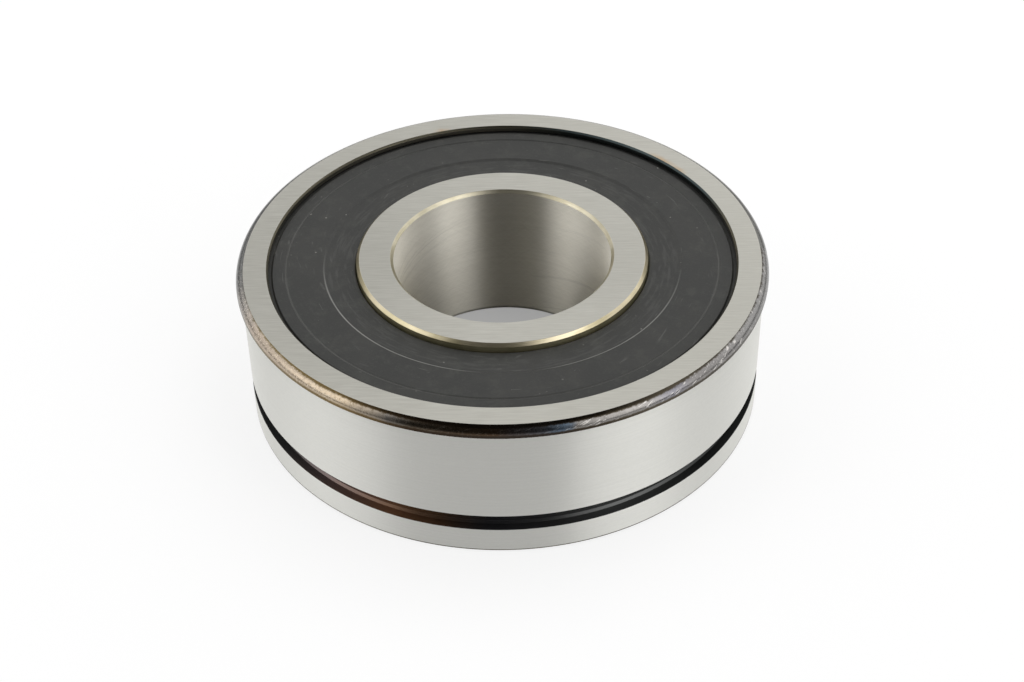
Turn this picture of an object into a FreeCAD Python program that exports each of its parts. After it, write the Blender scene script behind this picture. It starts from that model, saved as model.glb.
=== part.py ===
import FreeCAD, Part
import math
import os

# Sealed deep-groove ball bearing for a gearbox shaft.
# Frame: origin at the centre of the lower face, +Z along the bearing's axis, millimetres.
# The outer ring has an unground rim around its upper edge and a snap-ring groove near its lower face.

# Main sizes
bore_diameter = 25.0
seat_diameter = 60.0            # ground outside diameter, the seat in the gearbox housing
bearing_width = 18.0

# Balls and raceways
ball_count = 7
ball_diameter = 11.112
pitch_shift = 0.15              # pitch radius beyond the middle of bore and seat
ball_clearance = 0.02           # free space between a ball and each raceway
race_conformity = 0.52          # raceway radius as a share of the ball's diameter
inner_race_depth = 2.05
outer_race_depth = 1.95

# Outer ring, outside
rim_diameter = 61.0             # unground rim that stands proud of the seat
rim_height = 1.35
rim_round_drop = 0.95           # how far the rim's round corner comes down from the face
rim_round_bulge = 0.2
rim_face_setback = 0.87         # from the rim's outside to the edge of the ground face
rim_foot_chamfer = 0.15
lower_edge_chamfer = 0.15
snap_groove_height = 3.2        # lower wall of the snap-ring groove above the lower face
snap_groove_width = 2.0
snap_groove_depth = 1.2
snap_groove_root = 0.25         # slope in each corner of the groove's floor

# Outer ring, mouth that takes a seal
outer_face_width = 3.0          # from the seat to the edge of the mouth
mouth_chamfer = 0.2
seal_groove_top = 0.95          # depth of the groove's upper wall below the face
seal_groove_width = 0.8
seal_groove_undercut = 0.55
seal_groove_slope = 0.25        # rise of the wall that the seal snaps over
outer_shoulder_chamfer = 0.3

# Inner ring
inner_face_width = 3.9          # from the bore to the edge of the gold-tempered chamfer
bore_chamfer = 0.35
inner_edge_chamfer = 0.35
lip_land_depth = 2.1            # depth of the land's foot below the face
lip_land_run = 0.4              # height of the slope from the land out to the shoulder

# Seals
seal_recess = 0.7
seal_thickness = 0.9
seal_snap_clearance = 0.02
seal_lip_clearance = 0.05
seal_trough_width = 0.35
seal_trough_slope = 0.25
seal_line_inset = 2.0           # centre of the moulded line, in from the mouth's land
seal_line_width = 0.3
seal_line_depth = 0.13
seal_step_reach = 3.55          # edge of the raised face, out from the inner ring's land
seal_step_drop = 0.15
seal_step_slope = 0.15
seal_dish_reach = 1.45          # flat foot of the dished part, out from the land
seal_dish_drop = 0.3
seal_lip_reach = 0.45
seal_lip_bead = 0.05
seal_lip_nose = 0.15
seal_lip_height = 0.2
seal_lip_root = 0.75

# Riveted ribbon cage
cage_sheet = 0.7
cage_band_width = 4.3
pocket_clearance = 0.1
cage_fold_radius = 0.7
rivet_diameter = 1.6
rivet_head_diameter = 3.0
rivet_head_height = 0.8
rivet_clearance = 0.02

# Values that follow from the sizes above
bore_radius = bore_diameter / 2
seat_radius = seat_diameter / 2
rim_radius = rim_diameter / 2
ball_radius = ball_diameter / 2
pitch_radius = (bore_radius + seat_radius) / 2 + pitch_shift
middle_z = bearing_width / 2
race_radius = race_conformity * ball_diameter
inner_race_bottom = pitch_radius - ball_radius - ball_clearance
outer_race_bottom = pitch_radius + ball_radius + ball_clearance
inner_shoulder_radius = inner_race_bottom + inner_race_depth
outer_shoulder_radius = outer_race_bottom - outer_race_depth
mouth_radius = seat_radius - outer_face_width
mouth_land_radius = mouth_radius - mouth_chamfer
seal_groove_radius = mouth_land_radius + seal_groove_undercut
lip_land_radius = bore_radius + inner_face_width + inner_edge_chamfer
pocket_radius = ball_radius + pocket_clearance
dome_radius = pocket_radius + cage_sheet
cage_inner_radius = pitch_radius - cage_band_width / 2
cage_outer_radius = pitch_radius + cage_band_width / 2
rivet_radius = rivet_diameter / 2
rivet_head_radius = rivet_head_diameter / 2
ball_pitch_angle = 360.0 / ball_count
first_ball_angle = 90.0
full_turn = 360.0

axis_z = FreeCAD.Vector(0, 0, 1)
origin = FreeCAD.Vector(0, 0, 0)


def at(radius, height):
    """Point of a half section: distance from the axis and height above the lower face."""
    return FreeCAD.Vector(radius, 0, height)


def below_face(radius, depth):
    """Point of a half section, given by its depth below the upper face."""
    return at(radius, bearing_width - depth)


def mirrored(points):
    """The same points at the other face of the bearing, in the opposite order."""
    return [at(point.x, bearing_width - point.z) for point in reversed(points)]


def lines(points):
    """Straight edges from each point to the next."""
    return [Part.LineSegment(a, b) for a, b in zip(points, points[1:])]


def revolved(edges):
    """Solid of revolution about the bearing's axis from a closed half section."""
    wire = Part.Wire([edge.toShape() for edge in edges])
    return Part.Face(wire).revolve(origin, axis_z, full_turn)


def tube(inner_radius, outer_radius, low, high):
    """Plain ring between two radii and two heights."""
    outer = Part.makeCylinder(outer_radius, high - low, at(0, low))
    return outer.cut(Part.makeCylinder(inner_radius, high - low, at(0, low)))


def bulged_arc(start, end, bulge):
    """Arc that leaves the chord from start to end by the bulge, on the side away from the axis."""
    chord = end - start
    outward = FreeCAD.Vector(-chord.z, 0, chord.x)
    outward.multiply(-bulge / chord.Length)
    middle = (start + end) * 0.5
    return Part.Arc(start, middle + outward, end)


def race_half_width(race_bottom, shoulder_radius):
    """Half of the raceway's width where it meets its shoulders."""
    depth = abs(race_bottom - shoulder_radius)
    return math.sqrt(race_radius ** 2 - (race_radius - depth) ** 2)


def outer_ring_outside():
    """Edges of the outer ring from the lower face up to the edge of the upper face."""
    groove_low = snap_groove_height
    groove_high = snap_groove_height + snap_groove_width
    groove_radius = seat_radius - snap_groove_depth
    rim_high = below_face(rim_radius, rim_round_drop)
    face_high = below_face(rim_radius - rim_face_setback, 0)
    straight = [
        at(mouth_radius, 0),
        at(seat_radius - lower_edge_chamfer, 0),
        at(seat_radius, lower_edge_chamfer),
        at(seat_radius, groove_low),
        at(groove_radius + snap_groove_root, groove_low),
        at(groove_radius, groove_low + snap_groove_root),
        at(groove_radius, groove_high - snap_groove_root),
        at(groove_radius + snap_groove_root, groove_high),
        at(seat_radius, groove_high),
        below_face(seat_radius, rim_height),
        below_face(rim_radius - rim_foot_chamfer, rim_height),
        below_face(rim_radius, rim_height - rim_foot_chamfer),
        rim_high,
    ]
    rounded = bulged_arc(rim_high, face_high, rim_round_bulge)
    return lines(straight) + [rounded] + lines([face_high, below_face(mouth_radius, 0)])


def outer_ring_mouth():
    """Points from the edge of the upper face, round the seal groove, down to the raceway's edge."""
    groove_low = seal_groove_top + seal_groove_width
    race_edge = race_half_width(outer_race_bottom, outer_shoulder_radius)
    return [
        below_face(mouth_radius, 0),
        below_face(mouth_land_radius, mouth_chamfer),
        below_face(mouth_land_radius, seal_groove_top - seal_groove_slope),
        below_face(seal_groove_radius, seal_groove_top),
        below_face(seal_groove_radius, groove_low),
        below_face(outer_shoulder_radius + outer_shoulder_chamfer, groove_low),
        below_face(outer_shoulder_radius, groove_low + outer_shoulder_chamfer),
        at(outer_shoulder_radius, middle_z + race_edge),
    ]


def outer_ring():
    """Outer ring with rim, snap-ring groove, two seal grooves and a deep raceway."""
    mouth = outer_ring_mouth()
    lower_mouth = mirrored(mouth)
    race = Part.Arc(mouth[-1], at(outer_race_bottom, middle_z), lower_mouth[0])
    return revolved(outer_ring_outside() + lines(mouth) + [race] + lines(lower_mouth))


def inner_ring():
    """Inner ring with bore, chamfered faces, a stepped land for each seal lip and a raceway."""
    race_edge = race_half_width(inner_race_bottom, inner_shoulder_radius)
    outside = [
        below_face(bore_radius, bore_chamfer),
        below_face(bore_radius + bore_chamfer, 0),
        below_face(lip_land_radius - inner_edge_chamfer, 0),
        below_face(lip_land_radius, inner_edge_chamfer),
        below_face(lip_land_radius, lip_land_depth),
        below_face(inner_shoulder_radius, lip_land_depth + lip_land_run),
        at(inner_shoulder_radius, middle_z + race_edge),
    ]
    lower_outside = mirrored(outside)
    race = Part.Arc(outside[-1], at(inner_race_bottom, middle_z), lower_outside[0])
    bore = Part.LineSegment(lower_outside[-1], outside[0])
    return revolved(lines(outside) + [race] + lines(lower_outside) + [bore])


def upper_seal():
    """Rubber seal: bead in the outer ring's groove, moulded face, and a lip at the inner ring."""
    bead_radius = seal_groove_radius - seal_snap_clearance
    bead_top = seal_groove_top + seal_snap_clearance
    bead_low = seal_groove_top + seal_groove_width - seal_snap_clearance
    trough_radius = mouth_land_radius - seal_trough_width
    line_radius = mouth_land_radius - seal_line_inset
    step_radius = lip_land_radius + seal_step_reach
    dish = seal_recess + seal_dish_drop
    lip_radius = lip_land_radius + seal_lip_clearance
    lip_foot = dish + seal_lip_nose + seal_lip_height
    back = seal_recess + seal_thickness
    return revolved(lines([
        below_face(bead_radius, bead_top),
        below_face(trough_radius, bead_top),
        below_face(trough_radius - seal_trough_slope, seal_recess),
        below_face(line_radius + seal_line_width / 2, seal_recess),
        below_face(line_radius, seal_recess + seal_line_depth),
        below_face(line_radius - seal_line_width / 2, seal_recess),
        below_face(step_radius + seal_step_slope, seal_recess),
        below_face(step_radius, seal_recess + seal_step_drop),
        below_face(lip_land_radius + seal_dish_reach, dish),
        below_face(lip_radius + seal_lip_reach, dish),
        below_face(lip_radius + seal_lip_nose, dish - seal_lip_bead),
        below_face(lip_radius, dish + seal_lip_nose),
        below_face(lip_radius, lip_foot),
        below_face(lip_radius + seal_lip_root, back),
        below_face(trough_radius, back),
        below_face(trough_radius, bead_low),
        below_face(bead_radius, bead_low),
        below_face(bead_radius, bead_top),
    ]))


def at_other_face(shape):
    """The same piece turned over to the lower face."""
    return shape.mirror(at(0, middle_z), axis_z)


def ball_angle(index):
    """Direction of a ball around the axis, in degrees."""
    return first_ball_angle + index * ball_pitch_angle


def rivet_angle(index):
    """Direction of a rivet, half way between two balls."""
    return ball_angle(index) + ball_pitch_angle / 2


def on_pitch_circle(shape, angle):
    """Moves a piece made on the vertical axis out to the pitch circle, in a direction."""
    shape.translate(at(pitch_radius, 0))
    shape.rotate(origin, axis_z, angle)
    return shape


def ball(index):
    """Ball at the middle of the raceways."""
    return on_pitch_circle(Part.makeSphere(ball_radius, at(0, middle_z)), ball_angle(index))


def fold_centre():
    """Centre of the fold between a domed pocket and the flat web, from the ball's centre."""
    height = cage_sheet + cage_fold_radius
    reach = dome_radius + cage_fold_radius
    return at(math.sqrt(reach ** 2 - height ** 2), height)


def arc_about(centre, start, end):
    """Short arc from start to end about a centre."""
    middle = (start + end) * 0.5 - centre
    middle.multiply((start - centre).Length / middle.Length)
    return Part.Arc(start, centre + middle, end)


def pocket_dome(index):
    """Pressed pocket of even thickness: a dome over the ball, folded out into the flat web."""
    centre = fold_centre()
    toward_dome = at(centre.x, centre.z)
    outer_tangent = toward_dome * (dome_radius / toward_dome.Length)
    inner_tangent = toward_dome * (pocket_radius / toward_dome.Length)
    apex_high, apex_low = at(0, dome_radius), at(0, pocket_radius)
    web_high, web_low = at(centre.x, cage_sheet), at(centre.x, 0)
    section = [
        arc_about(origin, apex_high, outer_tangent), arc_about(centre, outer_tangent, web_high),
        Part.LineSegment(web_high, web_low), arc_about(centre, web_low, inner_tangent),
        arc_about(origin, inner_tangent, apex_low), Part.LineSegment(apex_low, apex_high),
    ]
    dome = revolved(section)
    dome.translate(at(0, middle_z))
    return on_pitch_circle(dome, ball_angle(index))


def pocket_mouth(index):
    """Cutter that opens the flat ribbon where a pocket goes."""
    mouth = Part.makeCylinder(fold_centre().x, cage_sheet, at(0, middle_z))
    return on_pitch_circle(mouth, ball_angle(index))


def rivet_hole(index):
    """Cutter for the hole that one rivet passes through."""
    hole = Part.makeCylinder(rivet_radius + rivet_clearance, cage_sheet, at(0, middle_z))
    return on_pitch_circle(hole, rivet_angle(index))


def cage_band(height):
    """Ring as wide as the cage, on the middle plane, with its seams beside a rivet."""
    band = tube(cage_inner_radius, cage_outer_radius, middle_z, middle_z + height)
    band.rotate(origin, axis_z, rivet_angle(0))
    return band


def upper_cage_half():
    """Pressed ribbon: flat webs between domed ball pockets, with a rivet hole in each web."""
    each = range(ball_count)
    band = cage_band(dome_radius)
    webs = cage_band(cage_sheet).cut([cut(i) for i in each for cut in (pocket_mouth, rivet_hole)])
    domes = [pocket_dome(i).common(band) for i in each]
    return webs.multiFuse(domes).removeSplitter()


def rivet_half():
    """Half section of a rivet, from its shank out round the head to the rivet's own axis."""
    dome_sphere = (rivet_head_radius ** 2 + rivet_head_height ** 2) / (2 * rivet_head_height)
    edge = at(rivet_head_radius, cage_sheet)
    top = at(0, cage_sheet + rivet_head_height)
    straight = lines([top, origin, at(rivet_radius, 0), at(rivet_radius, cage_sheet), edge])
    return straight + [arc_about(top - at(0, dome_sphere), edge, top)]


def rivet(index):
    """Rivet with a domed head on each side of the two cage halves."""
    upper = revolved(rivet_half())
    both = upper.fuse(upper.mirror(origin, axis_z)).removeSplitter()
    both.translate(at(0, middle_z))
    return on_pitch_circle(both, rivet_angle(index))


def bearing():
    """Every piece of the bearing by name."""
    seal = upper_seal()
    cage = upper_cage_half()
    pieces = {
        "outer_ring": outer_ring(),
        "inner_ring": inner_ring(),
        "upper_seal": seal,
        "lower_seal": at_other_face(seal),
        "upper_cage_half": cage,
        "lower_cage_half": at_other_face(cage),
    }
    for index in range(ball_count):
        pieces[f"ball_{index + 1}"] = ball(index)
        pieces[f"cage_rivet_{index + 1}"] = rivet(index)
    return pieces


def write(pieces):
    """One STEP file for each piece."""
    os.makedirs("parts", exist_ok=True)
    for name, shape in pieces.items():
        shape.exportStep(f"parts/{name}.step")
        print(f"{name}: {len(shape.Solids)} solid, valid {shape.isValid()}, {shape.Volume:.1f} mm3")


write(bearing())
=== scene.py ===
import math

import bmesh
import bpy
from mathutils import Matrix, Vector


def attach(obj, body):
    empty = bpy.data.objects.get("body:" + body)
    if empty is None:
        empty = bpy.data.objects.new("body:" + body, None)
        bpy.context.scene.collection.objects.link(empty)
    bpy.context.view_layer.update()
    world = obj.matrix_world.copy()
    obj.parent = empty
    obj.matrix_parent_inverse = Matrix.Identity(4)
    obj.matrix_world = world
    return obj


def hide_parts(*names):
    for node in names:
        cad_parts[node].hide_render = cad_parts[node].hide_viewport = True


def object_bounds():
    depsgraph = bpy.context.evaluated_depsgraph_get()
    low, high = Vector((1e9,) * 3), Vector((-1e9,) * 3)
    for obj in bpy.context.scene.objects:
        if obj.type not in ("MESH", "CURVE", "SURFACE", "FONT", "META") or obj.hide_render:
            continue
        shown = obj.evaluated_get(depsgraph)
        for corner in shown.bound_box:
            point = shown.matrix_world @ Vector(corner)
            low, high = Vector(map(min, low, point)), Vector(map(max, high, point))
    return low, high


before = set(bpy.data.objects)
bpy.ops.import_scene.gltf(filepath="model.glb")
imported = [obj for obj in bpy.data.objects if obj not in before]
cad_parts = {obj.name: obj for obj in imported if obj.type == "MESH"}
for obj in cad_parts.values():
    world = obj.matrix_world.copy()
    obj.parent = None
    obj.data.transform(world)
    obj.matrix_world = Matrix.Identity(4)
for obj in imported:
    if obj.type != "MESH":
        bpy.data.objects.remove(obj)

# Looks of a sealed gearbox bearing. Sizes are in millimetres unless a name says otherwise, and every
# mesh is made in metres. The bearing stands on its lower face, with its axis along +Z.
MM = 0.001
TURN = 2 * math.pi

cad_lowest, cad_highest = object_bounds()

# Main sizes, read from the frame
RIM_RADIUS = cad_highest.x / MM
WIDTH = cad_highest.z / MM
MIDDLE = WIDTH / 2

# Outer ring
SEAT_INSET = 0.5                # from the rim's outside in to the ground seat
SEAT_RADIUS = RIM_RADIUS - SEAT_INSET
RIM_HEIGHT = 1.35
RIM_ROUND_DROP = 0.95
RIM_ROUND_BULGE = 0.2
RIM_FACE_SETBACK = 0.87
RIM_FOOT_CHAMFER = 0.15
LOWER_EDGE_CHAMFER = 0.15
# Painted contact shadow: the lower chamfer and a thin band above it are drawn in the mouth's dark steel.
PAINTED_SHADE_BAND = 0.12             # dark edge above that chamfer
SNAP_GROOVE_LOW = 3.2
SNAP_GROOVE_HIGH = 5.2
SNAP_GROOVE_DEPTH = 1.2
SNAP_GROOVE_ROOT = 0.25
OUTER_FACE_WIDTH = 3.0
MOUTH_RADIUS = SEAT_RADIUS - OUTER_FACE_WIDTH
MOUTH_CHAMFER = 0.2
SEAL_GROOVE_TOP = 0.95
SEAL_GROOVE_SLOPE = 0.25
SEAL_GROOVE_FOOT = 1.75
SEAL_GROOVE_UNDERCUT = 0.55
OUTER_SHOULDER_RADIUS = 25.026
OUTER_SHOULDER_CHAMFER = 0.3
OUTER_RACE_BOTTOM = 26.976
RACE_RADIUS = 5.778

# Inner ring
BORE_RADIUS = 12.5
BORE_CHAMFER = 0.35
LAND_RADIUS = 16.75
INNER_EDGE_CHAMFER = 0.35
LAND_DEPTH = 2.1
LAND_RUN = 0.4
INNER_RACE_BOTTOM = 15.824
INNER_SHOULDER_RADIUS = 17.874

# Seals, as depths below the face and radii
SEAL_RECESS = 0.7
SEAL_BACK = 1.6
SEAL_BEAD_TOP = 0.97
SEAL_BEAD_FOOT = 1.73
SEAL_BEAD_RADIUS = 27.33
SEAL_TROUGH_RADIUS = 26.45
SEAL_TROUGH_SLOPE = 0.12
SEAL_LINE_RADIUS = 24.8
SEAL_LINE_HALF = 0.15
SEAL_LINE_DEPTH = 0.13
SEAL_STEP_RADIUS = 20.3
SEAL_STEP_SLOPE = 0.35
SEAL_STEP_DROP = 0.15
SEAL_DISH_RADIUS = 18.2
SEAL_DISH_DEPTH = 1.0
SEAL_LIP_RADIUS = 16.8
SEAL_LIP_FLAT = 17.25
SEAL_LIP_NOSE = 0.15
SEAL_LIP_BEAD = 0.05
SEAL_LIP_HEIGHT = 0.35
SEAL_LIP_ROOT = 17.55

# How the sections are drawn
ARC_STEPS = 12                  # stretches in a raceway's arc and in the rim's round
STEEL_EDGE_ROUND = 0.05
RUBBER_EDGE_ROUND = 0.09
ROUND_ABOVE_TURN = math.radians(16)
CORNER_SHARE = 0.3              # most of a short side that one corner's round may take
FLAT_KEEPER = 8.0               # a side this many times a round's length gets a point near each end
SHARP_ANGLE = math.radians(38)
RING_SEGMENTS = 576
SPIN_CIRCLE = 1.0               # radius of the circle that a section is swept round
WELD_DISTANCE = 0.002
DENT_LEAST_SIZE = 0.4           # added to each dent's own random size, as a share of the usual one
RIM_DENTS = {"Dent Depth": 0.035 * MM, "Dent Size": 0.8 * MM, "Dent Spacing": 2.4 * MM, "Dent Share": 0.12,
             "Dent Seed": 3.0}
NO_DENTS = {**RIM_DENTS, "Dent Depth": 0.0, "Dent Share": 0.0}

# Camera, fitted to the photograph's frame
IMAGE_WIDTH_PX, IMAGE_HEIGHT_PX = 1024, 682
FOCAL_PX = 1866.6
SENSOR_WIDTH = 36.0
CAMERA_ELEVATION = math.radians(38.325)
CAMERA_DISTANCE = 220.18
CAMERA_ROLL = math.radians(-1.311)
AIM_HEIGHT = 8.5
AIM_PIXEL = (503.59, 317.74)
CLIP_NEAR = 10.0
CLIP_FAR = 10000.0

# Studio
FLOOR_RADIUS = 600.0
FLOOR_SEGMENTS = 96
FLOOR_OWN_LIGHT = 0.79          # the part of the floor's white that no shadow takes away
FLOOR_UNDER_LIGHT = 0.30        # the same inside the bore, where little light comes down
FLOOR_WHITE = 0.21
FLOOR_BOUNCE = 0.8
WALL_LIGHT = 2.20               # brightness of the lightest stretch of wall
WALL_FOOT = (4.0, 14.0)         # elevations between which the walls begin, in degrees
WALL_TOP = (56.0, 70.0)         # elevations between which they give way to the ceiling
GAP_TONE = 0.22
CEILING_TONE = 0.08
TOP_BOX_PLACE = (100.0, 250.0, 850.0)
TOP_BOX_SIZE = 700.0
TOP_BOX_POWER = 2.5             # in watts


class Graph:
    """Short way to place and join the nodes of one tree."""

    def __init__(self, tree):
        self.tree = tree

    def node(self, kind, feeds=None, **settings):
        made = self.tree.nodes.new(kind)
        for name, value in settings.items():
            setattr(made, name, value)
        for name, value in (feeds or {}).items():
            self.feed(made.inputs[name], value)
        return made

    def feed(self, socket, value):
        """Joins a socket to another one or gives it a plain value; a colour may be a grey level."""
        if isinstance(value, bpy.types.NodeSocket):
            self.tree.links.new(value, socket)
        elif socket.type == "RGBA":
            socket.default_value = rgba(value)
        else:
            socket.default_value = value

    def math(self, operation, *values, clamp=False):
        made = self.node("ShaderNodeMath", operation=operation, use_clamp=clamp)
        for socket, value in zip(made.inputs, values):
            self.feed(socket, value)
        return made.outputs[0]

    def plus(self, first, second):
        return self.math("ADD", first, second)

    def minus(self, first, second):
        return self.math("SUBTRACT", first, second)

    def times(self, first, second):
        return self.math("MULTIPLY", first, second)

    def larger(self, first, second):
        return self.math("MAXIMUM", first, second)

    def mixed(self, first, second, share):
        """Two patterns added up, by the share of the first."""
        return self.plus(self.times(first, share), self.times(second, 1 - share))

    def centred(self, value, reach):
        """A value from 0 to 1, spread evenly round 0 over some reach."""
        return self.times(self.minus(value, 0.5), reach)

    def span(self, value, low, high, to_low=0.0, to_high=1.0):
        """Value carried smoothly from low..high to to_low..to_high."""
        made = self.node("ShaderNodeMapRange", interpolation_type="SMOOTHSTEP")
        for name, given in (("Value", value), ("From Min", low), ("From Max", high),
                            ("To Min", to_low), ("To Max", to_high)):
            self.feed(made.inputs[name], given)
        return made.outputs["Result"]

    def blend(self, share, first, second, mode="MIX"):
        """Colour between two, by a share from 0 to 1."""
        made = self.node("ShaderNodeMix", data_type="RGBA", blend_type=mode)
        self.feed(made.inputs["Factor"], share)
        colours = [s for s in made.inputs if s.type == "RGBA"]
        self.feed(colours[0], first)
        self.feed(colours[1], second)
        return next(s for s in made.outputs if s.type == "RGBA")

    def ramp(self, value, stops):
        """Colour or grey from stops of (place, colour)."""
        made = self.node("ShaderNodeValToRGB", {"Fac": value})
        band = made.color_ramp
        while len(band.elements) < len(stops):
            band.elements.new(1.0)
        for element, (place, colour) in zip(band.elements, stops):
            element.position = place
            element.color = rgba(colour)
        return made.outputs["Color"]

    def join_xyz(self, x, y, z):
        return self.node("ShaderNodeCombineXYZ", {"X": x, "Y": y, "Z": z}).outputs["Vector"]

    def scaled(self, vector, factor):
        made = self.node("ShaderNodeVectorMath", operation="SCALE")
        self.feed(made.inputs[0], vector)
        self.feed(made.inputs["Scale"], factor)
        return made.outputs["Vector"]

    def point_mm(self):
        """The surface's point in the piece's own coordinates, in millimetres."""
        return self.scaled(self.node("ShaderNodeTexCoord").outputs["Object"], 1 / MM)

    def noise(self, vector, scale, detail=3.0, roughness=0.5, distortion=0.0):
        made = self.node("ShaderNodeTexNoise", {
            "Vector": vector, "Scale": scale, "Detail": detail, "Roughness": roughness,
            "Distortion": distortion})
        return made.outputs["Fac"]

    def cells(self, vector, spacing, seed):
        """Random cells: the distance from each one's middle, and its colour."""
        made = self.node("ShaderNodeTexVoronoi", {"Vector": vector, "W": seed}, voronoi_dimensions="4D")
        self.feed(made.inputs["Scale"], self.math("DIVIDE", 1.0, spacing))
        return made.outputs

    def attribute(self, name, kind):
        made = self.node("GeometryNodeInputNamedAttribute", {"Name": name}, data_type=kind)
        return next(s for s in made.outputs if s.name == "Attribute" and s.enabled)


def rgba(colour):
    """Colour with full alpha, from a grey level or from red, green and blue."""
    if isinstance(colour, (int, float)):
        return (colour, colour, colour, 1.0)
    return (*colour, 1.0)


# Camera

def camera_axes():
    """Right, up and forward of the camera: towards the bearing, rolled, with the aim off the centre."""
    forward = Vector((0, math.cos(CAMERA_ELEVATION), -math.sin(CAMERA_ELEVATION)))
    right = Vector((1, 0, 0))
    up = right.cross(forward)
    cos_roll, sin_roll = math.cos(CAMERA_ROLL), math.sin(CAMERA_ROLL)
    right, up = cos_roll * right + sin_roll * up, cos_roll * up - sin_roll * right
    aim = Vector(((AIM_PIXEL[0] - IMAGE_WIDTH_PX / 2) / FOCAL_PX,
                  (IMAGE_HEIGHT_PX / 2 - AIM_PIXEL[1]) / FOCAL_PX, 1.0))
    off_centre = Vector((0, 0, 1)).rotation_difference(aim.normalized()).to_matrix()
    return off_centre @ Matrix((right, up, forward))


def make_camera():
    data = bpy.data.cameras.new("camera")
    data.sensor_width = SENSOR_WIDTH
    data.lens = FOCAL_PX / IMAGE_WIDTH_PX * SENSOR_WIDTH
    data.clip_start, data.clip_end = CLIP_NEAR * MM, CLIP_FAR * MM
    camera = bpy.data.objects.new("camera", data)
    bpy.context.scene.collection.objects.link(camera)
    right, up, forward = camera_axes()
    turned = Matrix((right, up, -forward)).transposed()
    place = Vector((0, -CAMERA_DISTANCE * math.cos(CAMERA_ELEVATION),
                    AIM_HEIGHT + CAMERA_DISTANCE * math.sin(CAMERA_ELEVATION)))
    camera.matrix_world = Matrix.Translation(place * MM) @ turned.to_4x4()
    bpy.context.scene.camera = camera


# Sections: lists of sides, each a finish and its points of (distance from the axis, height)

def depth(radius, below):
    """Point at a depth below the upper face."""
    return (radius, WIDTH - below)


def mirrored(sides):
    """The same sides at the lower face, run through in the opposite order."""
    return [(finish, [(r, WIDTH - z) for r, z in reversed(points)]) for finish, points in reversed(sides)]


def race_half_width(bottom, shoulder):
    """Half of a raceway's width where it meets its shoulders."""
    return math.sqrt(RACE_RADIUS ** 2 - (RACE_RADIUS - abs(bottom - shoulder)) ** 2)


def race_arc(bottom, shoulder):
    """Points of a raceway from its upper edge to its lower one."""
    side = 1 if shoulder > bottom else -1
    centre = bottom + side * RACE_RADIUS
    half = math.asin(race_half_width(bottom, shoulder) / RACE_RADIUS)
    angles = [half * (1 - 2 * step / ARC_STEPS) for step in range(ARC_STEPS + 1)]
    return [(centre - side * RACE_RADIUS * math.cos(a), MIDDLE + RACE_RADIUS * math.sin(a)) for a in angles]


def bulged(start, end, bulge):
    """Points of a shallow arc that stands out from its chord, away from the axis."""
    start, end = Vector(start), Vector(end)
    chord = end - start
    outward = Vector((-chord.y, chord.x)).normalized() * -bulge
    shares = [step / ARC_STEPS for step in range(ARC_STEPS + 1)]
    return [tuple(start + chord * s + outward * 4 * s * (1 - s)) for s in shares]


def outer_ring_mouth():
    """Upper mouth of the outer ring, from the face's edge to the raceway."""
    land = MOUTH_RADIUS - MOUTH_CHAMFER
    groove = land + SEAL_GROOVE_UNDERCUT
    race_edge = race_half_width(OUTER_RACE_BOTTOM, OUTER_SHOULDER_RADIUS)
    edge = [depth(MOUTH_RADIUS, 0), depth(land, MOUTH_CHAMFER)]
    wall = [
        edge[-1],
        depth(land, SEAL_GROOVE_TOP - SEAL_GROOVE_SLOPE),
        depth(groove, SEAL_GROOVE_TOP),
        depth(groove, SEAL_GROOVE_FOOT),
        depth(OUTER_SHOULDER_RADIUS + OUTER_SHOULDER_CHAMFER, SEAL_GROOVE_FOOT),
        depth(OUTER_SHOULDER_RADIUS, SEAL_GROOVE_FOOT + OUTER_SHOULDER_CHAMFER),
        (OUTER_SHOULDER_RADIUS, MIDDLE + race_edge),
    ]
    return [("mouth_edge", edge), ("mouth_wall", wall)]


def outer_ring_outside():
    """Outer ring from the edge of its lower face up to the mouth of its upper face."""
    groove = SEAT_RADIUS - SNAP_GROOVE_DEPTH
    face_edge = depth(RIM_RADIUS - RIM_FACE_SETBACK, 0)
    rim_side = depth(RIM_RADIUS, RIM_ROUND_DROP)
    rim_foot = depth(SEAT_RADIUS, RIM_HEIGHT)
    lower_face_edge = (SEAT_RADIUS - LOWER_EDGE_CHAMFER, 0)
    shade_foot = (SEAT_RADIUS, LOWER_EDGE_CHAMFER)
    shade_top = (SEAT_RADIUS, LOWER_EDGE_CHAMFER + PAINTED_SHADE_BAND)
    groove_points = [
        (SEAT_RADIUS, SNAP_GROOVE_LOW),
        (groove + SNAP_GROOVE_ROOT, SNAP_GROOVE_LOW),
        (groove, SNAP_GROOVE_LOW + SNAP_GROOVE_ROOT),
        (groove, SNAP_GROOVE_HIGH - SNAP_GROOVE_ROOT),
        (groove + SNAP_GROOVE_ROOT, SNAP_GROOVE_HIGH),
        (SEAT_RADIUS, SNAP_GROOVE_HIGH),
    ]
    rim_points = [
        rim_foot,
        depth(RIM_RADIUS - RIM_FOOT_CHAMFER, RIM_HEIGHT),
        depth(RIM_RADIUS, RIM_HEIGHT - RIM_FOOT_CHAMFER),
    ] + bulged(rim_side, face_edge, RIM_ROUND_BULGE)
    return [
        ("ground_face", [(MOUTH_RADIUS, 0), lower_face_edge]),
        # Painted contact shadow along the lower edge, in the mouth's dark steel.
        ("mouth_edge", [lower_face_edge, shade_foot, shade_top]),
        ("ground_seat", [shade_top, groove_points[0]]),
        ("groove_scale_and_reflection", groove_points),
        ("ground_seat", [groove_points[-1], rim_foot]),
        ("rim_scale_and_reflection", rim_points),
        ("ground_face", [face_edge, depth(MOUTH_RADIUS, 0)]),
    ]


def outer_ring_section():
    mouth = outer_ring_mouth()
    race = ("raceway", race_arc(OUTER_RACE_BOTTOM, OUTER_SHOULDER_RADIUS))
    return outer_ring_outside() + mouth + [race] + mirrored(mouth)


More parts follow.
